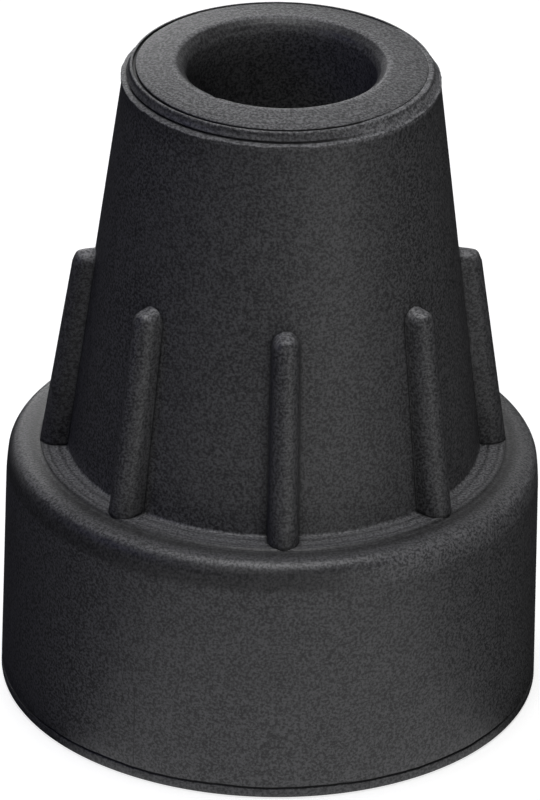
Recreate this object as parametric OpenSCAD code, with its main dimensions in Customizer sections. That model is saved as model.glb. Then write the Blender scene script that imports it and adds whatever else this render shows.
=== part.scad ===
// Rubber cane tip with a stepped foot, a ribbed taper and a blind socket for a round tube.
// Millimetres. +Z runs up the cane from the ground, and one rib lies on the -Y side.

/* [Foot] */
// Diameter where the foot meets the ground
foot_d = 52; // [44:0.5:60]
// Height of the foot up to its shoulder
foot_h = 25; // [18:0.5:32]
// Draft of the foot's wall, in degrees
foot_draft = 0.9; // [0:0.1:2.5]
// Rounding of the edge on the ground
foot_edge_r = 0.35; // [0.2:0.05:0.8]
// Height of the mould line above the ground
parting_z = 1.15; // [0.9:0.05:2]
// Depth of the mould line
parting_depth = 0.2; // [0.05:0.01:0.3]
// Width of the mould line
parting_w = 0.28; // [0.1:0.02:0.4]

/* [Shoulder] */
// Rounding of the shoulder's outer edge
shoulder_r = 1.3; // [0.6:0.1:2.5]
// Height from which the wall leans in towards the shoulder
lean_z = 21.9; // [19:0.1:23]
// How far the wall has leaned in at the shoulder
lean_in = 0.26; // [0:0.02:0.5]
// Length of the rounding, each way, where the wall starts to lean
lean_run = 1; // [0.2:0.1:2]
// Width of the flat inner land, from the taper out to the step
land_w = 2.4; // [1.5:0.1:3.5]
// Height of the step between the two lands
step_h = 0.14; // [0.05:0.01:0.3]
// Fall of the outer land, in degrees
outer_fall = 4; // [0:0.5:8]

/* [Taper] */
// Radius of the taper where it stands on the shoulder
taper_foot_r = 19.9; // [16:0.1:21.5]
// Fillet at the root of the taper
root_r = 0.25; // [0.1:0.05:0.6]

/* [Collar] */
// Overall height of the tip
total_h = 65.1; // [55:0.1:75]
// Radius of the top face
face_r = 13.8; // [12.5:0.1:14.2]
// Slope of the top face up to the mouth, in degrees
face_slope = 6.5; // [0:0.5:10]
// Width of the fine groove round the top face
groove_w = 0.28; // [0.1:0.02:0.4]
// Depth of that groove
groove_depth = 0.3; // [0.05:0.05:0.4]
// Width of the lip outside the groove
lip_w = 0.28; // [0.1:0.02:0.4]
// Height of the flared band under the lip
band_h = 1.05; // [0.7:0.05:1.5]
// How far the band flares out on its way down
band_out = 0.38; // [0.1:0.02:0.6]
// Height over the flash ledge at which the band starts to flare
flare_h = 0.55; // [0.35:0.05:0.65]
// Rounding where the flare starts
flare_r = 0.25; // [0.05:0.05:0.4]
// Width and depth of the fine undercut between the band and the flash ledge
undercut = 0.14; // [0.05:0.01:0.2]
// Width of the flash ledge under the band
flash_w = 0.4; // [0.15:0.05:0.6]
// Thickness of the flash ledge
flash_t = 0.32; // [0.25:0.01:0.5]
// Fall of the flash ledge towards its edge
flash_fall = 0.12; // [0:0.02:0.16]
// Rounding of the flash ledge's edge
flash_r = 0.06; // [0.02:0.01:0.08]
// How far the flash ledge stands out from the taper
flash_out = 0.12; // [0.05:0.01:0.2]

/* [Socket] */
// Diameter of the socket, a press fit on an 18 to 19 mm cane
bore_d = 18; // [16:0.1:19.5]
// Depth of the socket below the top of the tip
bore_depth = 45; // [30:0.5:48]
// Diameter of the mouth, where the lead-in meets the top face
mouth_d = 20; // [19.6:0.1:22]
// Depth of the lead-in
mouth_depth = 0.9; // [0.6:0.05:1.5]
// Rounding of the mouth's edge
mouth_edge_r = 0.3; // [0.1:0.05:0.4]
// Rounding where the lead-in runs into the socket
lead_r = 0.5; // [0.2:0.05:0.6]
// Fillet round the socket's floor
floor_r = 1.2; // [0.5:0.1:3]

/* [Ribs] */
// Number of ribs round the taper
rib_count = 8; // [4:1:12]
// Height of a rib's crown above the shoulder
rib_h = 20.4; // [12:0.2:26]
// How far a rib stands out from the taper at its crown
rib_out_top = 2.05; // [1.2:0.05:3]
// How far a rib stands out from the taper at the shoulder
rib_out_foot = 2.55; // [1.6:0.05:3.4]
// Width of a rib at its crown
rib_w_top = 2.6; // [1.6:0.1:4]
// Width of a rib at the shoulder
rib_w_foot = 2.9; // [1.8:0.1:4.4]
// Fall of a rib's crown, in degrees
crown_fall = 8; // [0:1:20]
// Rounding between a rib's crown and its nose
crown_r = 0.5; // [0.2:0.05:1]

/* [Tread] */
// Number of ring grooves in the sole
tread_rings = 3; // [1:1:4]
// Radius of the innermost ring groove
tread_first_r = 8; // [5:0.5:10]
// Spacing of the ring grooves
tread_pitch = 5; // [3.5:0.25:5.5]
// Width of a ring groove at the sole
tread_w = 2; // [1:0.1:2.8]
// Depth of a ring groove
tread_depth = 1.6; // [0.8:0.1:3]
// Draft of a groove's sides, in degrees
tread_draft = 8; // [0:1:15]

/* [Hidden] */
$fn = 120;

foot_r = foot_d / 2;
bore_r = bore_d / 2;
ring_r = taper_foot_r + land_w;
land_z = foot_h - step_h;

wall_draft = tan(foot_draft);
shoulder_edge_r = foot_r - foot_h * wall_draft - lean_in;

// Top face, sloping down from the mouth; the edge's rounding takes off the extra height
mouth_edge = [mouth_d / 2, total_h + mouth_edge_r / 10];
face_z = mouth_edge[1] - (face_r - mouth_edge[0]) * tan(face_slope);

// Collar, from the top face down to the flash ledge
lip_in_r = face_r + groove_w;
lip_out_r = lip_in_r + lip_w;
band_foot_r = lip_out_r + band_out;
ledge_z = face_z - band_h;
flash_edge_r = band_foot_r + flash_w;
taper_top_r = flash_edge_r - flash_out;
taper_top_z = ledge_z - flash_t;
taper_slope = (taper_foot_r - taper_top_r) / (taper_top_z - foot_h);
taper_lean = atan(taper_slope);

// Rib lines in the plane through the axis
rib_top_z = foot_h + rib_h;
rib_root = [taper_r(rib_top_z), rib_top_z];
nose_top = [rib_root[0] + rib_out_top, rib_top_z];
nose_foot = [taper_foot_r + rib_out_foot, foot_h];
nose_slope = (nose_foot[0] - nose_top[0]) / rib_h;
nose_lean = atan(nose_slope);
arch_r = rib_w_top / 2;
rib_sink = 1.2;
rib_flat = 0.03;

function taper_r(z) = taper_foot_r - (z - foot_h) * taper_slope;

function arc(c, r, from, to, steps) = [
    for (i = [0:steps])
        let (a = from + (to - from) * i / steps)
        c + r * [cos(a), sin(a)]
];

// Arc that rounds off the corner p, from run before it towards a to run past it towards b
function round_off(a, p, b, run, steps) =
    let (
        u = (a - p) / norm(a - p),
        v = (b - p) / norm(b - p),
        half = acos(u * v) / 2,
        c = p + (u + v) / norm(u + v) * run / cos(half),
        s = p + run * u - c,
        e = p + run * v - c,
        from = atan2(s[1], s[0]),
        turn = atan2(e[1], e[0]) - from
    )
    arc(c, run * tan(half), from, from + turn + (turn > 180 ? -360 : turn < -180 ? 360 : 0), steps);

// Corners of the revolved body, from the sole's middle out, up and back into the socket:
// the point, the run of its rounding and the steps of that
body_corners = [
    [[0, 0], 0, 0],
    [[foot_r, 0], foot_edge_r, 4],
    [[foot_r - parting_z * wall_draft, parting_z - parting_w / 2], 0, 0],
    [[foot_r - parting_z * wall_draft - parting_depth, parting_z], 0, 0],
    [[foot_r - parting_z * wall_draft, parting_z + parting_w / 2], 0, 0],
    [[foot_r - lean_z * wall_draft, lean_z], lean_run, 3],
    [[shoulder_edge_r, land_z - (shoulder_edge_r - ring_r) * tan(outer_fall)], shoulder_r, 8],
    [[ring_r + step_h, land_z], 0, 0],
    [[ring_r, foot_h], 0, 0],
    [[taper_foot_r, foot_h], root_r, 4],
    [[taper_top_r, taper_top_z], 0, 0],
    [[flash_edge_r, taper_top_z + flash_out / 2], 0, 0],
    [[flash_edge_r, ledge_z - flash_fall], flash_r, 3],
    [[band_foot_r, ledge_z], 0, 0],
    [[band_foot_r - undercut, ledge_z], 0, 0],
    [[band_foot_r - undercut, ledge_z + undercut], 0, 0],
    [[band_foot_r - undercut / 2, ledge_z + undercut * 1.5], 0, 0],
    [[lip_out_r + lip_w / 6, ledge_z + flare_h], flare_r, 3],
    [[lip_out_r, face_z - lip_w / 3], lip_w / 3, 3],
    [[lip_in_r, face_z - lip_w / 9], lip_w / 4, 2],
    [[lip_in_r, face_z - groove_depth], 0, 0],
    [[face_r, face_z - groove_depth], 0, 0],
    [[face_r, face_z], groove_w / 3, 2],
    [mouth_edge, mouth_edge_r, 5],
    [[bore_r, total_h - mouth_depth], lead_r, 5],
    [[bore_r, total_h - bore_depth], floor_r, 5],
    [[0, total_h - bore_depth], 0, 0]
];

function body_outline() = [
    for (i = [0:len(body_corners) - 1])
        let (corner = body_corners[i])
        for (
            q = corner[1] == 0
                ? [corner[0]]
                : round_off(body_corners[i - 1][0], corner[0], body_corners[i + 1][0], corner[1], corner[2])
        )
            q
];

// Half of the ring groove's section lies each side of its radius
module tread_groove(r) {
    half_w = tread_w / 2;
    half_floor = half_w - tread_depth * tan(tread_draft);
    rotate_extrude()
        polygon([
            [r - half_w, -0.01],
            [r + half_w, -0.01],
            [r + half_floor, tread_depth],
            [r - half_floor, tread_depth]
        ]);
}

// Seen along the rib: tapering sides under a round arch
module rib_front() {
    grow = (rib_w_foot - rib_w_top) / 2 / rib_h;
    half_foot = arch_r + grow * (rib_h + rib_sink);
    polygon(concat(
        [[half_foot, -rib_h - rib_sink]],
        arc([0, -arch_r], arch_r, 0, 180, 12),
        [[-half_foot, -rib_h - rib_sink]]
    ));
}

// Seen from the side: sloping crown, rounded corner and leaning nose
module rib_side() {
    fall = tan(crown_fall);
    corner_r = (nose_top[0] + nose_slope * fall * rib_root[0]) / (1 + nose_slope * fall);
    reach = (rib_root[0] - corner_r) * fall;
    corner = [
        nose_top[0] - nose_slope * reach - rib_flat,
        rib_top_z + reach - rib_flat
    ];
    n1 = [cos(nose_lean), sin(nose_lean)];
    n2 = [sin(crown_fall), cos(crown_fall)];
    c = corner - crown_r * (n1 + n2) / (1 + n1 * n2);
    in_r = rib_root[0] - 1.5;
    low_z = foot_h - rib_sink;
    polygon(concat(
        [
            [in_r, low_z],
            [nose_foot[0] + nose_slope * rib_sink - rib_flat, low_z]
        ],
        arc(c, crown_r, nose_lean, 90 - crown_fall, 5),
        [[in_r, rib_top_z + 1.5 * fall - rib_flat]]
    ));
}

// Seen from above: a full-round nose that leans in with the rib
module rib_nose() {
    r_foot = rib_w_foot / 2 + 0.015;
    r_top = rib_w_top / 2 + 0.015;
    n = [cos(nose_lean), sin(nose_lean)];
    p0 = nose_foot - r_foot * n;
    p1 = nose_top - r_top * n;
    axis_len = norm(p1 - p0);
    axis_lean = atan((p0[0] - p1[0]) / (p1[1] - p0[1]));
    grow = (r_foot - r_top) / axis_len;
    extra = 2;
    translate([p0[0], 0, p0[1]])
        rotate([0, -axis_lean, 0]) {
            translate([0, 0, -extra])
                cylinder(
                    h = axis_len + 2 * extra,
                    r1 = r_foot + grow * extra,
                    r2 = r_top - grow * extra
                );
            translate([-rib_out_foot - 1.5, -rib_w_foot, -extra])
                cube([rib_out_foot + 1.5, 2 * rib_w_foot, axis_len + 2 * extra]);
        }
}

module rib() {
    intersection() {
        rib_nose();
        translate([rib_root[0], 0, rib_top_z])
            rotate([90, 0, 90])
            translate([0, 0, -3])
            linear_extrude(height = 12)
            rib_front();
        rotate([90, 0, 0])
            translate([0, 0, -rib_w_foot])
            linear_extrude(height = 2 * rib_w_foot)
            rib_side();
    }
}

module rubber_tip() {
    color([0.05, 0.05, 0.055])
    union() {
        difference() {
            rotate_extrude()
                polygon(body_outline());
            for (i = [0:tread_rings - 1])
                tread_groove(tread_first_r + i * tread_pitch);
        }
        for (i = [0:rib_count - 1])
            rotate([0, 0, -90 + i * 360 / rib_count])
                rib();
    }
}

rubber_tip();
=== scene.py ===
import bmesh
import bpy
from math import atan2, cos, degrees, exp, hypot, pi, radians, sin, sqrt, tan
from mathutils import Matrix, Vector, noise


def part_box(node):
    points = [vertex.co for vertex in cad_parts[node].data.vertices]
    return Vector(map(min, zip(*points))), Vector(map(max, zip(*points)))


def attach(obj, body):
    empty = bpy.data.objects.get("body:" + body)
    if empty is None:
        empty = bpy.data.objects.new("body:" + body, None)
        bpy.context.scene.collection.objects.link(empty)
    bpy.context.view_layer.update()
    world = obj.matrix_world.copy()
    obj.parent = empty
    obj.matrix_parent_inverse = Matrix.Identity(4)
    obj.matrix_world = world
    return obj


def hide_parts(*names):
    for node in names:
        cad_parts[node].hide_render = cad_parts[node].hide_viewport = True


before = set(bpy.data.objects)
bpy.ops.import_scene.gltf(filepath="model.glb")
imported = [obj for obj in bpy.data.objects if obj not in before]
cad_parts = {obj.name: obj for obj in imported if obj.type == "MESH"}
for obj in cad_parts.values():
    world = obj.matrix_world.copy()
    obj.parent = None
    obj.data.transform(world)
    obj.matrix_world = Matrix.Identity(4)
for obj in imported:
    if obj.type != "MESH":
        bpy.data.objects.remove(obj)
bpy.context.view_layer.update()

mm = 0.001
lowCorner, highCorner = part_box("rubber_tip")
print("frame loaded")

# Camera: a long lens from the front, as in the photograph
shot = {
    "distance": 714.5 * mm,     # level distance from the axis
    "height": 405.0 * mm,       # above the ground
    "aside": -3.2,              # degrees round the axis, so that the front rib is right of centre
    "pan": -0.031,              # degrees
    "pitch": 27.75,             # degrees down
    "roll": 1.35,               # degrees, leans the tip to the right
    "lens": 378.05,             # mm on a 36 mm tall sensor
    "sensor": 36,
}


def addCamera():
    aside, pitch, roll = radians(shot["aside"]), radians(shot["pitch"]), radians(shot["roll"])
    turn = aside - radians(shot["pan"])
    place = Vector((shot["distance"] * sin(aside), -shot["distance"] * cos(aside), shot["height"]))
    ahead = Vector((-sin(turn) * cos(pitch), cos(turn) * cos(pitch), -sin(pitch)))
    side = Vector((cos(turn), sin(turn), 0))
    up = side.cross(ahead)
    axes = Matrix((side * cos(roll) + up * sin(roll), up * cos(roll) - side * sin(roll), -ahead))
    data = bpy.data.cameras.new("camera")
    data.sensor_fit = "VERTICAL"
    data.sensor_height = shot["sensor"]
    data.lens = shot["lens"]
    data.clip_start = 10 * mm
    camera = bpy.data.objects.new("camera", data)
    camera.matrix_world = Matrix.Translation(place) @ axes.transposed().to_4x4()
    bpy.context.collection.objects.link(camera)
    bpy.context.scene.camera = camera


addCamera()
bpy.context.scene.view_settings.view_transform = "Standard"
print("camera placed")

# Sizes of the moulding in mm, as in the solid that it stands for
tip = {
    "height": (highCorner[2] - lowCorner[2]) / mm,
    "footR": 26.0,
    "footH": 25.0,
    "wallDraft": 0.9,           # degrees
    "edgeRound": 0.35,
    "lineZ": 1.15,              # mould line low on the wall
    "lineW": 0.28,
    "lineFloorW": 0.08,
    "lineDepth": 0.2,
    "leanZ": 21.9,              # the wall leans in from here up
    "leanIn": 0.26,
    "leanRound": 1.0,
    "shoulderRound": 1.3,
    "ringR": 22.3,              # step between the two lands
    "stepH": 0.14,
    "stepFootRound": 0.05,
    "stepTopRound": 0.08,
    "outerFall": 4.0,           # degrees
    "taperFootR": 19.9,
    "rootRound": 0.25,
    "faceR": 13.8,
    "faceSlope": 6.5,           # degrees
    "grooveW": 0.28,
    "grooveDepth": 0.3,
    "grooveRound": 0.04,
    "lipW": 0.28,
    "bandH": 1.05,
    "bandOut": 0.38,
    "flareH": 0.55,
    "flareRound": 0.25,
    "undercut": 0.14,
    "undercutRound": 0.02,
    "flashW": 0.4,              # ledge of flash where the collar meets the taper
    "flashT": 0.32,
    "flashFall": 0.12,
    "flashRound": 0.06,
    "flashOut": 0.12,
    "mouthR": 10.0,             # edge of the lead-in
    "mouthDepth": 0.9,
    "mouthRound": 0.3,
    "mouthRise": 0.03,          # makes up for what the rounding takes off the height
    "leadRound": 0.5,
    "boreR": 9.0,
    "boreDepth": 45.0,
    "floorRound": 1.2,
    "treadRadii": (8, 13, 18),
    "treadW": 2.0,
    "treadDepth": 1.6,
    "treadDraft": 8.0,          # degrees
    "treadEdgeRound": 0.15,
    "treadFloorRound": 0.25,
    "hairRound": 0.03,          # of edges that look sharp
    "turns": 288,               # steps of the spin
    "wallStep": 1.6,            # longest stretch of the outline between two rings
}

# What the collar, the mouth and the taper share, from the top down
tip["mouthZ"] = tip["height"] + tip["mouthRise"]
tip["faceZ"] = tip["mouthZ"] - (tip["faceR"] - tip["mouthR"]) * tan(radians(tip["faceSlope"]))
tip["lipIn"] = tip["faceR"] + tip["grooveW"]
tip["lipR"] = tip["lipIn"] + tip["lipW"]
tip["bandR"] = tip["lipR"] + tip["bandOut"]
tip["bandZ"] = tip["faceZ"] - tip["bandH"]
tip["ledgeR"] = tip["bandR"] + tip["flashW"]
tip["topR"] = tip["ledgeR"] - tip["flashOut"]
tip["topZ"] = tip["bandZ"] - tip["flashT"]


def roundCorner(wire, corner, run, steps):
    # Vertex bevel, where run is the distance taken off each side
    bmesh.ops.bevel(wire, geom=[corner], affect="VERTICES", offset=run, offset_type="OFFSET",
                    segments=steps, profile=0.5, material=-1)


def spinOutline(corners, turns, longest):
    # corners holds radius, height, run of the rounding and its steps, from axis to axis
    mesh = bmesh.new()
    points = [mesh.verts.new((r, 0, z)) for r, z, run, steps in corners]
    for a, b in zip(points, points[1:]):
        mesh.edges.new((a, b))
    for point, (r, z, run, steps) in zip(points, corners):
        if run:
            roundCorner(mesh, point, run, steps)
    for edge in [e for e in mesh.edges if e.calc_length() > longest]:
        bmesh.ops.subdivide_edges(mesh, edges=[edge], cuts=int(edge.calc_length() / longest))
    bmesh.ops.spin(mesh, geom=mesh.verts[:] + mesh.edges[:], cent=(0, 0, 0), axis=(0, 0, 1),
                   angle=2 * pi, steps=turns, use_merge=True, use_duplicate=False)
    bmesh.ops.remove_doubles(mesh, verts=mesh.verts, dist=0.0005)
    bmesh.ops.recalc_face_normals(mesh, faces=mesh.faces)
    return mesh


def taperRadius(z):
    rise = (z - tip["footH"]) / (tip["topZ"] - tip["footH"])
    return tip["taperFootR"] - rise * (tip["taperFootR"] - tip["topR"])


def treadOutline():
    half = tip["treadW"] / 2
    lean = tip["treadDepth"] * tan(radians(tip["treadDraft"]))
    corners = []
    for r in tip["treadRadii"]:
        corners += [
            (r - half, 0, tip["treadEdgeRound"], 2),
            (r - half + lean, tip["treadDepth"], tip["treadFloorRound"], 2),
            (r + half - lean, tip["treadDepth"], tip["treadFloorRound"], 2),
            (r + half, 0, tip["treadEdgeRound"], 2),
        ]
    return corners


def tipOutline():
    # From the middle of the sole out, up the wall and the taper, and down the socket
    t = tip
    draft = tan(radians(t["wallDraft"]))
    edgeR = t["footR"] - t["footH"] * draft - t["leanIn"]
    landZ = t["footH"] - t["stepH"]
    lineR = t["footR"] - t["lineZ"] * draft
    lineHalf, lineFloorHalf = t["lineW"] / 2, t["lineFloorW"] / 2
    cutR = t["bandR"] - t["undercut"]
    floorZ = t["height"] - t["boreDepth"]
    hair, cutRound = t["hairRound"], t["undercutRound"]
    return [
        (0, 0, 0, 0),
        *treadOutline(),
        (t["footR"], 0, t["edgeRound"], 4),
        (lineR, t["lineZ"] - lineHalf, hair, 2),
        (lineR - t["lineDepth"], t["lineZ"] - lineFloorHalf, hair, 2),
        (lineR - t["lineDepth"], t["lineZ"] + lineFloorHalf, hair, 2),
        (lineR, t["lineZ"] + lineHalf, hair, 2),
        (t["footR"] - t["leanZ"] * draft, t["leanZ"], t["leanRound"], 4),
        (edgeR, landZ - (edgeR - t["ringR"]) * tan(radians(t["outerFall"])), t["shoulderRound"], 10),
        (t["ringR"] + t["stepH"], landZ, t["stepFootRound"], 2),
        (t["ringR"], t["footH"], t["stepTopRound"], 3),
        (t["taperFootR"], t["footH"], t["rootRound"], 5),
        (t["topR"], t["topZ"], hair, 2),
        (t["ledgeR"], t["topZ"] + t["flashOut"] / 2, hair, 2),
        (t["ledgeR"], t["bandZ"] - t["flashFall"], t["flashRound"], 4),
        (t["bandR"], t["bandZ"], cutRound, 2),
        (cutR, t["bandZ"], cutRound, 2),
        (cutR, t["bandZ"] + t["undercut"], cutRound, 2),
        (cutR + t["undercut"] / 2, t["bandZ"] + t["undercut"] * 1.5, hair, 2),
        (t["lipR"] + t["lipW"] / 6, t["bandZ"] + t["flareH"], t["flareRound"], 4),
        (t["lipR"], t["faceZ"] - t["lipW"] / 3, t["lipW"] / 3, 4),
        (t["lipIn"], t["faceZ"] - t["lipW"] / 9, t["lipW"] / 4, 3),
        (t["lipIn"], t["faceZ"] - t["grooveDepth"], t["grooveRound"], 2),
        (t["faceR"], t["faceZ"] - t["grooveDepth"], t["grooveRound"], 2),
        (t["faceR"], t["faceZ"], t["grooveW"] / 3, 3),
        (t["mouthR"], t["mouthZ"], t["mouthRound"], 5),
        (t["boreR"], t["height"] - t["mouthDepth"], t["leadRound"], 5),
        (t["boreR"], floorZ, t["floorRound"], 6),
        (0, floorZ, 0, 0),
    ]


# What trimming and the mould left: flash that wanders, an uneven mould line and a nick in the mouth.
# Azimuths are in degrees from the front towards +X
wear = {
    "flashWiden": 0.6,          # share by which the ledge is wider round the next azimuth
    "flashAzimuth": -45,
    "flashSpread": 32,
    "flashWander": 0.3,         # share of the ledge
    "flashLeast": 0.72,         # share of the ledge that is always left
    "flashStep": 22,            # azimuth of the jump in the ledge
    "flashJump": 0.15,          # share of the ledge
    "flashWave": 0.06,          # up and down
    "lineWander": 0.09,
    "lineZone": (0.8, 1.5),     # heights between which the foot's wall moves with its mould line
    "nickAzimuth": -41,
    "nickReach": 0.75,          # along the edge
    "nickOut": 1.4,             # from the bore's wall, where the nick ends
    "nickDepth": 0.35,
    "nickFall": 0.3,            # share of the depth
    "smearFrom": 12,            # azimuths between which the groove and the undercut are smeared shut
    "smearFull": 36,
    "smearEnd": 120,
    "smearGone": 150,
    "smearWander": 6,
    "smearShare": 0.9,
    "grooveZone": (0.4, 0.08),  # depths below the face between which the groove fills up
    "grooveLeft": 0.07,         # depth that a full groove keeps
    "slopeTop": 0.62,           # height over the ledge to which the smeared slope reaches
    "slopeFoot": 0.2,           # distance outside the band at which it starts
    "slopeIn": 0.04,            # distance outside the lip at which it ends
    "slack": 0.02,              # kept clear next to an edge that stays
    "wideSlack": 0.03,
    "ledgeOver": 0.1,           # height over the ledge up to which points belong to it
}


def wander(angle, cycles, seed):
    # Noise round the axis that closes on itself
    return noise.noise(Vector((cos(angle) * cycles / 3, sin(angle) * cycles / 3, seed)))


def ease(value, low, high):
    share = min(1.0, max(0.0, (value - low) / (high - low)))
    return share * share * (3 - 2 * share)


def ledgeGrowth(angle):
    azimuth = degrees(angle)
    off = (azimuth - wear["flashAzimuth"]) / wear["flashSpread"]
    grow = 1 + wear["flashWiden"] * exp(-off * off)
    grow -= wear["flashJump"] * ease(azimuth, wear["flashStep"] - 1, wear["flashStep"] + 1)
    grow += wear["flashWander"] * (wander(angle, 14, 2.5) + 0.6 * wander(angle, 60, 7.5))
    return max(wear["flashLeast"], grow)


def smearShare(angle):
    azimuth = degrees(angle)
    uneven = azimuth + wear["smearWander"] * wander(angle, 12, 4.5)
    share = ease(uneven, wear["smearFrom"], wear["smearFull"])
    return share * (1 - ease(azimuth, wear["smearEnd"], wear["smearGone"])) * wear["smearShare"]


def wornCollar(r, z, angle):
    # New radius, and how far the point rises: a wandering ledge, and a collar smeared on the right
    grow, smear = ledgeGrowth(angle), smearShare(angle)
    slack, wide = wear["slack"], wear["wideSlack"]
    deep, shallow = wear["grooveZone"]
    faceZ, lipR, bandR, bandZ = tip["faceZ"], tip["lipR"], tip["bandR"], tip["bandZ"]
    out, rise = r, 0
    if r > bandR + slack and tip["topZ"] + slack < z < bandZ + wear["ledgeOver"]:
        out = bandR + (r - bandR) * grow
        rise = wear["flashWave"] * (wander(angle, 20, 11.5) + 0.5 * wander(angle, 70, 3.5))
    if tip["faceR"] - wide < r < tip["lipIn"] + wide and faceZ - deep < z < faceZ - shallow:
        rise = (faceZ - wear["grooveLeft"] - z) * smear
    if lipR + slack < r < bandR + slack and bandZ - wide < z < bandZ + wear["slopeTop"]:
        foot = bandR + wear["slopeFoot"] * grow
        slant = foot - (z - bandZ) / wear["slopeTop"] * (foot - lipR - wear["slopeIn"])
        out = r + (slant - r) * smear
    return out, rise


def nickedMouth(r, angle):
    away = r * abs(angle - radians(wear["nickAzimuth"])) / wear["nickReach"]
    if away > 1:
        return r, 0
    inner = 1 - max(0.0, r - tip["boreR"]) / wear["nickOut"]
    push = wear["nickDepth"] * inner * (1 - away * away) ** 2
    return r + push, -push * wear["nickFall"]


def addWear(data):
    nearAxis, mouthDeep, collarDeep = 1, 2, 1
    for v in data.vertices:
        x, y, z = v.co / mm
        r = hypot(x, y)
        if r < nearAxis:
            continue
        angle = atan2(x, -y)
        out, rise = r, 0
        if z > tip["height"] - mouthDeep and tip["boreR"] - 0.1 < r < tip["boreR"] + wear["nickOut"]:
            out, rise = nickedMouth(r, angle)
        elif z > tip["bandZ"] - collarDeep:
            out, rise = wornCollar(r, z, angle)
        elif r > tip["footR"] - 1 and wear["lineZone"][0] < z < wear["lineZone"][1]:
            rise = wear["lineWander"] * (wander(angle, 16, 5.5) + 0.6 * wander(angle, 80, 9.5))
        v.co = Vector((x * out / r, y * out / r, z + rise)) * mm


# Ribs on the taper: round arch on top, full-round nose, small fillet at the root
ribs = {
    "count": 8,
    "height": 20.4,             # of the crown above the shoulder
    "outTop": 2.05,
    "outFoot": 2.55,
    "widthTop": 2.6,
    "widthFoot": 2.9,
    "crownFall": 8.0,           # degrees
    "crownRound": 0.5,
    "crownDrop": 0.75,
    "fillet": 0.06,
    "sink": 1.0,                # into the shoulder
    "bury": 0.6,                # into the taper
    "archSteps": 8,
    "filletSteps": 4,
    "noseSteps": 9,
}


def ribRings():
    # Distance out from the taper, share of the width and growth by the fillet, ring by ring
    half = ribs["widthTop"] / 2
    rings = [(-ribs["bury"], 1, ribs["fillet"])]
    for i in range(ribs["filletSteps"] + 1):
        a = pi / 2 * i / ribs["filletSteps"]
        rings.append((ribs["fillet"] * (1 - cos(a)), 1, ribs["fillet"] * (1 - sin(a))))
    for i in range(ribs["noseSteps"] + 1):
        a = pi / 2 * i / ribs["noseSteps"]
        rings.append((ribs["outTop"] - half + half * sin(a), cos(a), 0))
    return rings


def ribFace(mesh):
    # Front view of a rib, with its round arch, whose vertices remember where they are in it
    half = ribs["widthTop"] / 2
    low = tip["footH"] - ribs["sink"]
    top = tip["footH"] + ribs["height"]
    frontView = ((-half, low), (half, low), (half, top), (-half, top))
    corners = [mesh.verts.new((x, 0, z)) for x, z in frontView]
    mesh.faces.new(corners)
    foot = corners[0]
    bmesh.ops.bevel(mesh, geom=corners[2:], affect="VERTICES", offset=half * 0.9999,
                    offset_type="OFFSET", segments=ribs["archSteps"], profile=0.5, material=-1)
    face = foot.link_faces[0]
    markX = mesh.verts.layers.float["markX"]
    markZ = mesh.verts.layers.float["markZ"]
    for v in face.verts:
        v[markX], v[markZ] = v.co.x, v.co.z
    return face


def ribPoint(x, z, out, squeeze, grow):
    # Place of the point x, z of the front view on the ring that out, squeeze and grow describe
    half = ribs["widthTop"] / 2
    top = tip["footH"] + ribs["height"]
    down = (top - z) / ribs["height"]
    reach = ribs["outTop"] + (ribs["outFoot"] - ribs["outTop"]) * down
    wide = ribs["widthTop"] + (ribs["widthFoot"] - ribs["widthTop"]) * down
    lift = max(0.0, (z - top + half) / half)
    spread = x / half * (wide / 2 + grow) * squeeze
    drop = lift * max(0.0, out) * tan(radians(ribs["crownFall"]))
    over = (out - ribs["outTop"] + ribs["crownRound"]) / ribs["crownRound"]
    if over > 0:
        drop += lift * ribs["crownDrop"] * (1 - sqrt(max(0.0, 1 - over ** 2)))
    return spread, -(taperRadius(z) + out * reach / ribs["outTop"]), z + grow * lift - drop


def addRib(mesh):
    face = ribFace(mesh)
    markX = mesh.verts.layers.float["markX"]
    markZ = mesh.verts.layers.float["markZ"]
    ribVerts = set()
    for i, (out, squeeze, grow) in enumerate(ribRings()):
        for v in face.verts:
            v.co = ribPoint(v[markX], v[markZ], out, squeeze, grow)
        ribVerts.update(face.verts)
        if squeeze < 0.001:
            break
        more = bmesh.ops.extrude_face_region(mesh, geom=[face])["geom"]
        if i:
            # Only the first face stays, as the closed back
            bmesh.ops.delete(mesh, geom=[face], context="FACES_ONLY")
        face = [g for g in more if isinstance(g, bmesh.types.BMFace)][0]
    return list(ribVerts)


def ribMesh():
    mesh = bmesh.new()
    mesh.verts.layers.float.new("markX")
    mesh.verts.layers.float.new("markZ")
    for i in range(ribs["count"]):
        turn = Matrix.Rotation(2 * pi * i / ribs["count"], 3, "Z")
        bmesh.ops.rotate(mesh, verts=addRib(mesh), cent=(0, 0, 0), matrix=turn)
    bmesh.ops.remove_doubles(mesh, verts=mesh.verts, dist=0.002)
    bmesh.ops.dissolve_degenerate(mesh, edges=mesh.edges, dist=0.001)
    bmesh.ops.recalc_face_normals(mesh, faces=mesh.faces)
    return mesh


def toObject(mesh, name):
    bmesh.ops.scale(mesh, verts=mesh.verts, vec=(mm, mm, mm))
    data = bpy.data.meshes.new(name)
    mesh.to_mesh(data)
    mesh.free()
    piece = bpy.data.objects.new(name, data)
    bpy.context.collection.objects.link(piece)
    return piece


def fuse(body, added):
    # Union of two closed meshes, applied
    union = body.modifiers.new("union", "BOOLEAN")
    union.operation = "UNION"
    union.solver = "EXACT"
    union.object = added
    ready = body.evaluated_get(bpy.context.evaluated_depsgraph_get())
    data = bpy.data.meshes.new_from_object(ready)
    body.modifiers.clear()
    body.data = data
    bpy.data.objects.remove(added)


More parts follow.
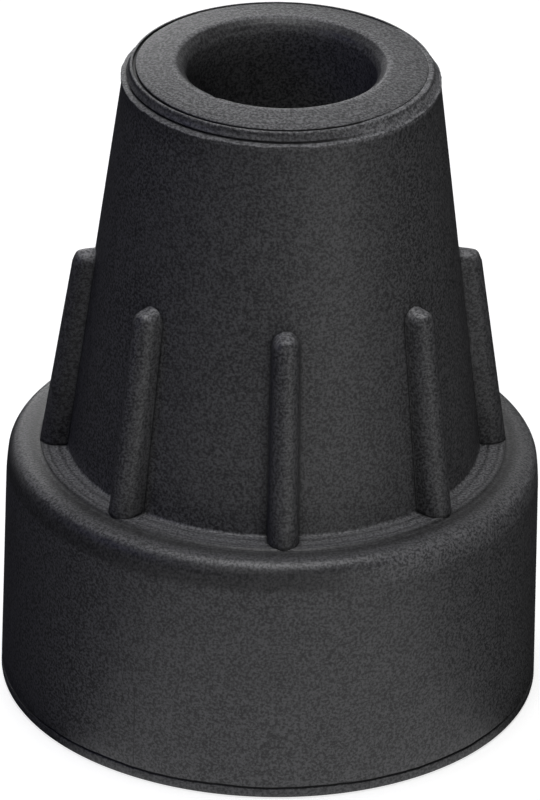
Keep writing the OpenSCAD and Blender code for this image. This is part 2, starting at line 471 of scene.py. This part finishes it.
def makeTip():
    piece = toObject(spinOutline(tipOutline(), tip["turns"], tip["wallStep"]), "mouldedTip")
    print("body spun,", len(piece.data.polygons), "faces")
    added = toObject(ribMesh(), "ribs")
    print("ribs made,", len(added.data.polygons), "faces")
    fuse(piece, added)
    data = piece.data
    addWear(data)
    data.polygons.foreach_set("use_smooth", [True] * len(data.polygons))
    data.set_sharp_from_angle(angle=radians(38))
    print("ribs fused,", len(data.polygons), "faces")
    return piece


def mathTools(nodes, links):
    # A Math node and a smooth ramp for the node tree at hand
    def work(kind, *values):
        node = nodes.new("ShaderNodeMath")
        node.operation = kind
        for socket, value in zip(node.inputs, values):
            if isinstance(value, (int, float)):
                socket.default_value = value
            else:
                links.new(value, socket)
        return node.outputs[0]

    def fade(value, low, high, first=0, last=1):
        node = nodes.new("ShaderNodeMapRange")
        node.interpolation_type = "SMOOTHSTEP"
        for name, amount in (("From Min", low), ("From Max", high), ("To Min", first), ("To Max", last)):
            node.inputs[name].default_value = amount
        links.new(value, node.inputs["Value"])
        return node.outputs["Result"]

    return work, fade


def placeTools(nodes, links):
    # Texture coordinates, the object's own x, y and z, and the distance from its axis
    work, fade = mathTools(nodes, links)
    place = nodes.new("ShaderNodeTexCoord")
    parts = nodes.new("ShaderNodeSeparateXYZ")
    links.new(place.outputs["Object"], parts.inputs[0])
    x, y, z = parts.outputs
    radius = work("SQRT", work("ADD", work("MULTIPLY", x, x), work("MULTIPLY", y, y)))
    return place, x, y, z, radius


# Moulded rubber: near black, satin, grainy, with turned lines on the end face, a seam on the foot, and
# painted light and shade in zones and creases
rubberLook = {
    "deep": (0.015, 0.015, 0.0163, 1),
    "pale": (0.071, 0.071, 0.074, 1),
    "roughness": 0.48,
    "specular": 0.33,
    "edgeSpecular": 0.04,       # where the surface is seen at a flat angle
    "edgeRamp": (0.45, 0.85),
    "grainScale": 4000,         # per metre, as the next two scales
    "grainDetail": 2,
    "grainRoughness": 0.65,
    "grainRamp": (0.34, 0.66),
    "grainDepth": 0.025 * mm,
    "blotchScale": 450,
    "blotchDetail": 3,
    "blotchRamp": (0.25, 0.75),
    "blotchSwing": 0.06,        # share of the step from deep to pale, either way
    "ringScale": 2600,
    "ringDetail": 2,
    "ringRamp": (0.3, 0.7),
    "ringDepth": 0.03 * mm,
    # Painted light: rubber that faces up made paler, as light from above falls on it, with a painted
    # highlight on the rib crowns
    "upwardLight": 1.18,              # share of the tone where the rubber looks up
    "upwardLightRamp": (0.5, 0.9),
    "crownHighlight": 1.0,          # more of it on the crowns of the ribs
    # Painted highlight on the collar to the right, where the smear fills the groove
    "smearHighlight": 0.9,           # shares that a zone adds to its tone, or takes off it; all but faceSpeckle and faceLines are painted light and shade
    "faceSpeckle": 0.6,
    "faceLines": 0.3,
    # Painted light: the end face paler, as light from above falls on it
    "faceLight": 0.22,
    # Painted highlight along the rounded edge of the mouth
    "mouthRimHighlight": 0.45,
    # Painted highlight on the ledge of flash under the collar
    "ledgeHighlight": 0.5,
    # Painted shade on the far side of the lead-in into the bore
    "leadShade": -0.35,
    # Painted light on the wall of the bore
    "boreLight": 0.4,
    # Painted shade on the band under the shoulder to the left, painted highlight on it to the right
    "wallShade": -0.45,
    "wallSheen": 0.5,
    # Fine lines and a darker ring on the shoulder, with painted light on the inner land and a painted
    # highlight on the rounding
    "landLinesAndLight": (              # radius in mm and share of the tone
        (20.45, 1.6), (20.7, 0.8), (20.95, 1.6), (21.5, 1.6), (21.75, 0.8), (22.0, 1.5),
        (22.2, 0.8), (22.5, 0.3), (22.7, 0.6), (22.9, 0.3), (23.3, 0.5), (23.8, 0.9),
        (24.3, 1.0), (24.8, 1.2)),
    # Painted shade in creases, from ambient occlusion
    "creaseReach": 0.45 * mm,
    "creaseSamples": 12,
    "creaseRamp": (0.5, 0.93),
    "creaseShadeTone": (0.003, 0.003, 0.0035, 1),
    "seamAzimuth": -32.2,       # degrees from the front towards +X
    "seamBreaks": (0.3, 0.5),
    "seamTone": (0.012, 0.012, 0.013, 1),
}

# Zones in mm: each pair of values is where a zone fades in or, as the second of two pairs, out
zones = {
    "faceZ": (64.3, 64.5),
    "faceR": (9.9, 10.2),
    "mouthR": ((9.85, 10.0), (10.35, 10.7)),
    "collarZ": ((63.0, 63.3), (64.55, 64.75)),
    "collarR": (12.0, 12.5),
    "ledgeR": (14.7, 14.9),
    "smearAngle": ((0.2, 0.5), (2.1, 2.6)),         # radians from the front towards +X
    "leadZ": (63.6, 64.0),
    "leadR": (9.75, 9.95),
    "leadY": (-2.0, 7.0),                           # the far side only
    "boreR": (9.05, 9.25),
    "crownZ": ((43.5, 44.0), (45.5, 46.0)),
    "wallZ": ((21.8, 22.5), (24.2, 24.5)),          # band round the top of the wall, of painted shade and highlight
    "wallR": (24.5, 25.0),
    "wallX": (3.0, 13.0),                           # painted shade to the left, painted highlight to the right
    "landZ": ((24.0, 24.5), (25.05, 25.3)),
    "landR": (19.0, 27.0),
    "seamAside": (0.036, 0.09),
    "seamR": (24.0, 25.0),
    "seamZ": (6.3, 10.5),
}


def zoneTone(nodes, links, place, flecks, rings):
    # Share of the tone at each place: 1 on the plain wall, more or less in the zones, which paint light
    # and shade, besides the speckle and turned lines of the end face
    look = rubberLook
    work, fade = mathTools(nodes, links)
    coord, x, y, z, radius = place

    def above(value, pair, unit=mm):
        return fade(value, pair[0] * unit, pair[1] * unit)

    def below(value, pair, unit=mm):
        return work("SUBTRACT", 1, above(value, pair, unit))

    def within(value, pairs, unit=mm):
        return work("MULTIPLY", above(value, pairs[0], unit), below(value, pairs[1], unit))

    def times(a, b):
        return work("MULTIPLY", a, b)

    onFace = above(z, zones["faceZ"])
    speckle = times(work("SUBTRACT", flecks, 0.5), look["faceSpeckle"])
    turned = times(work("SUBTRACT", fade(rings.outputs["Fac"], *look["ringRamp"]), 0.5), look["faceLines"])
    # Speckle and turned lines of the end face, raised by painted light
    lined = work("ADD", work("ADD", speckle, turned), look["faceLight"])
    onCollar = times(within(z, zones["collarZ"]), above(radius, zones["collarR"]))
    azimuth = work("ARCTAN2", x, times(y, -1))
    onLead = times(above(z, zones["leadZ"]), below(radius, zones["leadR"]))
    onWall = times(within(z, zones["wallZ"]), above(radius, zones["wallR"]))
    wallStep = look["wallSheen"] - look["wallShade"]
    normal = nodes.new("ShaderNodeSeparateXYZ")
    links.new(coord.outputs["Normal"], normal.inputs[0])
    # Painted light on upward faces, and a painted highlight on the rib crowns
    upwardLightShare = work("MULTIPLY_ADD", within(z, zones["crownZ"]), look["crownHighlight"], look["upwardLight"] - 1)
    shares = [
        times(times(onFace, above(radius, zones["faceR"])), lined),
        # Painted highlight on the mouth's edge
        times(times(onFace, within(radius, zones["mouthR"])), look["mouthRimHighlight"]),
        # Painted highlight on the collar to the right
        times(times(onCollar, within(azimuth, zones["smearAngle"], 1)), look["smearHighlight"]),
        # Painted highlight on the ledge
        times(times(onCollar, above(radius, zones["ledgeR"])), look["ledgeHighlight"]),
        # Painted shade on the far side of the lead-in
        times(times(onLead, above(y, zones["leadY"])), look["leadShade"]),
        # Painted light in the bore
        times(below(radius, zones["boreR"]), look["boreLight"]),
        # Painted shade to the left of the wall's top band, painted highlight to its right
        times(onWall, work("MULTIPLY_ADD", above(x, zones["wallX"]), wallStep, look["wallShade"])),
        times(fade(normal.outputs[2], *look["upwardLightRamp"]), upwardLightShare),
    ]
    gain = 1
    for share in shares:
        gain = work("ADD", gain, share)
    onLand = within(z, zones["landZ"])
    return gain, onFace, onLand


def paintLandLinesAndLight(nodes, links, radius, onLand, tone):
    # Rings on the shoulder: fine lines, a darker ring, painted light on the inner land and a painted
    # highlight on the rounding
    low, high = zones["landR"]
    span = nodes.new("ShaderNodeMapRange")
    span.inputs["From Min"].default_value = low * mm
    span.inputs["From Max"].default_value = high * mm
    links.new(radius, span.inputs["Value"])
    bands = nodes.new("ShaderNodeValToRGB")
    ramp = bands.color_ramp.elements
    for i, (r, share) in enumerate(rubberLook["landLinesAndLight"]):
        at = (r - low) / (high - low)
        stop = ramp.new(at) if i else ramp[0]
        stop.position = at
        stop.color = (share, share, share, 1)
    ramp.remove(ramp[-1])
    links.new(span.outputs["Result"], bands.inputs["Fac"])
    banded = nodes.new("ShaderNodeMix")
    banded.data_type = "RGBA"
    banded.blend_type = "MULTIPLY"
    links.new(onLand, banded.inputs["Factor"])
    links.new(tone, banded.inputs["A"])
    links.new(bands.outputs["Color"], banded.inputs["B"])
    return banded.outputs["Result"]


def mixed(nodes, links, share, tone, colour):
    # The tone with a plain colour laid over it by a share
    mix = nodes.new("ShaderNodeMix")
    mix.data_type = "RGBA"
    mix.inputs["B"].default_value = colour
    links.new(share, mix.inputs["Factor"])
    links.new(tone, mix.inputs["A"])
    return mix.outputs["Result"]


def noiseNode(nodes, scale, detail):
    node = nodes.new("ShaderNodeTexNoise")
    node.inputs["Scale"].default_value = scale
    node.inputs["Detail"].default_value = detail
    return node


def rubberMaterial():
    look = rubberLook
    material = bpy.data.materials.new("mouldedRubber")
    material.use_nodes = True
    nodes, links = material.node_tree.nodes, material.node_tree.links
    shader = nodes["Principled BSDF"]
    shader.inputs["Roughness"].default_value = look["roughness"]
    work, fade = mathTools(nodes, links)
    place = placeTools(nodes, links)
    coord, x, y, z, radius = place

    # Rubber that is seen at a flat angle shines less than a clean Fresnel coat would
    edgeOn = nodes.new("ShaderNodeLayerWeight")
    flat = fade(edgeOn.outputs["Facing"], *look["edgeRamp"], look["specular"], look["edgeSpecular"])
    links.new(flat, shader.inputs["Specular IOR Level"])

    # Grain, faintly uneven over the surface, and rings round the axis
    grain = noiseNode(nodes, look["grainScale"], look["grainDetail"])
    grain.inputs["Roughness"].default_value = look["grainRoughness"]
    links.new(coord.outputs["Object"], grain.inputs["Vector"])
    blotch = noiseNode(nodes, look["blotchScale"], look["blotchDetail"])
    links.new(coord.outputs["Object"], blotch.inputs["Vector"])
    rings = noiseNode(nodes, look["ringScale"], look["ringDetail"])
    rings.noise_dimensions = "1D"
    links.new(radius, rings.inputs["W"])
    flecks = fade(grain.outputs["Fac"], *look["grainRamp"])
    swing = fade(blotch.outputs["Fac"], *look["blotchRamp"], -look["blotchSwing"], look["blotchSwing"])
    tone = nodes.new("ShaderNodeMix")
    tone.data_type = "RGBA"
    tone.inputs["A"].default_value = look["deep"]
    tone.inputs["B"].default_value = look["pale"]
    links.new(work("ADD", flecks, swing), tone.inputs["Factor"])
    gain, onFace, onLand = zoneTone(nodes, links, place, flecks, rings)
    toned = nodes.new("ShaderNodeVectorMath")
    toned.operation = "SCALE"
    links.new(tone.outputs["Result"], toned.inputs[0])
    links.new(gain, toned.inputs["Scale"])
    # Fine lines, a darker ring and painted light on the shoulder
    colour = paintLandLinesAndLight(nodes, links, radius, onLand, toned.outputs[0])

    # Painted shade in every crease and groove, from ambient occlusion
    creaseOcclusion = nodes.new("ShaderNodeAmbientOcclusion")
    creaseOcclusion.samples = look["creaseSamples"]
    creaseOcclusion.inputs["Distance"].default_value = look["creaseReach"]
    creaseShade = work("SUBTRACT", 1, fade(creaseOcclusion.outputs["AO"], *look["creaseRamp"]))
    colour = mixed(nodes, links, creaseShade, colour, look["creaseShadeTone"])

    # Vertical seam low on the foot, broken up by the blotches
    turn = radians(look["seamAzimuth"])
    aside = work("ABSOLUTE", work("ADD", work("MULTIPLY", x, cos(turn)), work("MULTIPLY", y, sin(turn))))
    ahead = work("SUBTRACT", work("MULTIPLY", x, sin(turn)), work("MULTIPLY", y, cos(turn)))
    seam = work("SUBTRACT", 1, fade(aside, *(length * mm for length in zones["seamAside"])))
    seam = work("MULTIPLY", seam, fade(ahead, *(length * mm for length in zones["seamR"])))
    lowDown = work("SUBTRACT", 1, fade(z, *(length * mm for length in zones["seamZ"])))
    broken = work("MULTIPLY", lowDown, fade(blotch.outputs["Fac"], *look["seamBreaks"]))
    colour = mixed(nodes, links, work("MULTIPLY", seam, broken), colour, look["seamTone"])
    links.new(colour, shader.inputs["Base Color"])

    # Grain and turned rings in the surface
    ringHeight = work("MULTIPLY", work("MULTIPLY", rings.outputs["Fac"], onFace), look["ringDepth"])
    height = work("ADD", work("MULTIPLY", grain.outputs["Fac"], look["grainDepth"]), ringHeight)
    bump = nodes.new("ShaderNodeBump")
    bump.inputs["Distance"].default_value = 1
    links.new(height, bump.inputs["Height"])
    links.new(bump.outputs["Normal"], shader.inputs["Normal"])
    return material


tipPiece = makeTip()
tipPiece.data.materials.append(rubberMaterial())
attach(tipPiece, "root")
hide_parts("rubber_tip")
print("rubber on")

# White studio: floor and backdrop that the camera and reflections see as white
studio = {
    "half": 3.0,                # of the floor's and the backdrop's width
    "floorZ": -0.05 * mm,       # a hair under the sole
    "backdropY": 2.5,
    "matte": (0.4, 0.4, 0.4, 1),          # as the camera sees it, with the shadow
    "dim": (0.08, 0.08, 0.08, 1),         # as the object sees it
    "floorSeen": 0.75,
    "backSeen": 1.0,
    "backShine": 0.6,
    "worldLight": 0.005,
    # azimuth from the front towards +X, degrees to each side, reach in metres, strength
    "patches": ((0, 47, 0.1, 0.88), (30, 26, 0.45, 0.75)),
    "patchReach": (0.8, 1.25),  # shares of its reach over which a patch ends
    "patchSide": 10,            # degrees either way over which it ends to the sides
}


def litPatches(nodes, links):
    # Strength of the studio light on the floor: round the foot in front, and to the front right
    work, fade = mathTools(nodes, links)
    coord, x, y, z, radius = placeTools(nodes, links)
    nearer, farther = studio["patchReach"]
    soft = studio["patchSide"]
    lit = 0
    for azimuth, spread, reach, strength in studio["patches"]:
        a = radians(azimuth)
        ahead = work("SUBTRACT", work("MULTIPLY", x, sin(a)), work("MULTIPLY", y, cos(a)))
        turn = work("ARCCOSINE", work("DIVIDE", ahead, radius))
        near = fade(radius, reach * nearer, reach * farther, strength, 0)
        patch = work("MULTIPLY", near, fade(turn, radians(spread - soft), radians(spread + soft), 1, 0))
        lit = work("MAXIMUM", lit, patch)
    return lit


def stageMaterial(name, seen, patches):
    # White to the camera; to the object a dim matte with lit patches, or with a shine for reflections
    material = bpy.data.materials.new(name)
    material.use_nodes = True
    nodes, links = material.node_tree.nodes, material.node_tree.links
    nodes.remove(nodes["Principled BSDF"])
    work, fade = mathTools(nodes, links)
    path = nodes.new("ShaderNodeLightPath")
    matte = nodes.new("ShaderNodeBsdfDiffuse")
    matte.inputs["Color"].default_value = studio["matte"]
    dim = nodes.new("ShaderNodeBsdfDiffuse")
    dim.inputs["Color"].default_value = studio["dim"]
    surface = nodes.new("ShaderNodeMixShader")
    links.new(path.outputs["Is Camera Ray"], surface.inputs[0])
    links.new(dim.outputs[0], surface.inputs[1])
    links.new(matte.outputs[0], surface.inputs[2])
    if patches:
        unseen = litPatches(nodes, links)
    else:
        unseen = work("MULTIPLY", path.outputs["Is Glossy Ray"], studio["backShine"])
    strength = nodes.new("ShaderNodeMix")
    strength.inputs["B"].default_value = seen
    links.new(unseen, strength.inputs["A"])
    links.new(path.outputs["Is Camera Ray"], strength.inputs["Factor"])
    light = nodes.new("ShaderNodeEmission")
    links.new(strength.outputs["Result"], light.inputs["Strength"])
    both = nodes.new("ShaderNodeAddShader")
    links.new(surface.outputs[0], both.inputs[0])
    links.new(light.outputs[0], both.inputs[1])
    links.new(both.outputs[0], nodes["Material Output"].inputs["Surface"])
    return material


def gridMesh():
    mesh = bmesh.new()
    bmesh.ops.create_grid(mesh, x_segments=1, y_segments=1, size=studio["half"] / mm)
    return mesh


def addStage():
    mesh = gridMesh()
    bmesh.ops.translate(mesh, verts=mesh.verts, vec=(0, 0, studio["floorZ"] / mm))
    floor = toObject(mesh, "floor")
    floor.data.materials.append(stageMaterial("floorWhite", studio["floorSeen"], True))
    mesh = gridMesh()
    bmesh.ops.rotate(mesh, verts=mesh.verts, cent=(0, 0, 0), matrix=Matrix.Rotation(pi / 2, 3, "X"))
    bmesh.ops.translate(mesh, verts=mesh.verts, vec=(0, studio["backdropY"] / mm, 0))
    backdrop = toObject(mesh, "backdrop")
    backdrop.data.materials.append(stageMaterial("backdropWhite", studio["backSeen"], False))


def addWorld():
    world = bpy.data.worlds.new("studioWorld")
    world.use_nodes = True
    nodes, links = world.node_tree.nodes, world.node_tree.links
    back = nodes["Background"]
    back.inputs["Color"].default_value = (1, 1, 1, 1)
    path = nodes.new("ShaderNodeLightPath")
    mix = nodes.new("ShaderNodeMix")
    mix.inputs["A"].default_value = studio["worldLight"]
    mix.inputs["B"].default_value = 1
    links.new(path.outputs["Is Camera Ray"], mix.inputs["Factor"])
    links.new(mix.outputs["Result"], back.inputs["Strength"])
    bpy.context.scene.world = world


# Lamps: azimuth from the front towards +X, elevation, power and colour
lamps = {
    "overhead": (0, 90, 6.9, (1, 1, 1)),
    "side": (30, 8, 1.8, (1, 1, 1)),
    "right": (72, 18, 0.45, (1, 1, 1)),
    "fill": (-20, 42, 1.34, (1, 1, 1)),
    "back": (180, 32, 0.6, (1, 1, 1)),
    "rear": (188, 10, 1.4, (1, 1, 1)),
    "left": (-75, 30, 0.55, (0.2, 0.22, 1)),
}
lampDistance = 1.0
lampSize = 0.35
lampAim = Vector((0, 0, 0.03))


def addLamps():
    for name, (azimuth, elevation, power, colour) in lamps.items():
        data = bpy.data.lights.new(name, "AREA")
        data.energy = power
        data.color = colour
        data.shape = "DISK"
        data.size = lampSize
        lamp = bpy.data.objects.new(name, data)
        lamp.visible_camera = False
        bpy.context.collection.objects.link(lamp)
        a, e = radians(azimuth), radians(elevation)
        lamp.location = Vector((sin(a) * cos(e), -cos(a) * cos(e), sin(e))) * lampDistance
        lamp.rotation_euler = (lampAim - lamp.location).to_track_quat("-Z", "Y").to_euler()


addStage()
addWorld()
addLamps()
print("studio lit")
